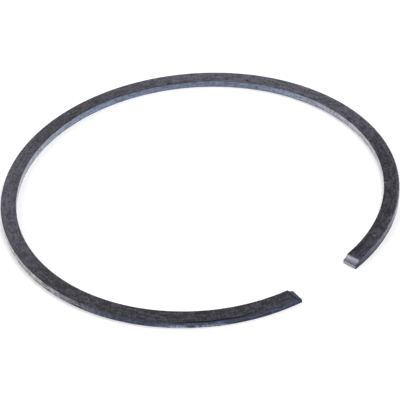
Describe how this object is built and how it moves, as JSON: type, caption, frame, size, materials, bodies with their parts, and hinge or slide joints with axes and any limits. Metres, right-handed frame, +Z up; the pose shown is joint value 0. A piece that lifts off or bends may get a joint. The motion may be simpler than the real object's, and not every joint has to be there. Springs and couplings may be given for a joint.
{
  "type": "piston ring",
  "caption": "Thin rectangular-section compression ring, split and sprung open in its free state, with a round locating-peg recess in the upper flank at the joint.",
  "frame": {"origin": "centre of the free ring's outline, on the lower flank", "axes": "+Z up through the flanks; the joint faces -Y and the back of the ring is at +Y; the ring is symmetrical about the plane X = 0"},
  "size_m": [0.0534, 0.0516, 0.001],
  "materials": {
    "phosphated_iron": "dark grey phosphate coat, fine grained, with plain ground metal in the joint's notches"
  },
  "bodies": {
    "root": {"piston_ring": "phosphated_iron"}
  },
  "joints": []
}
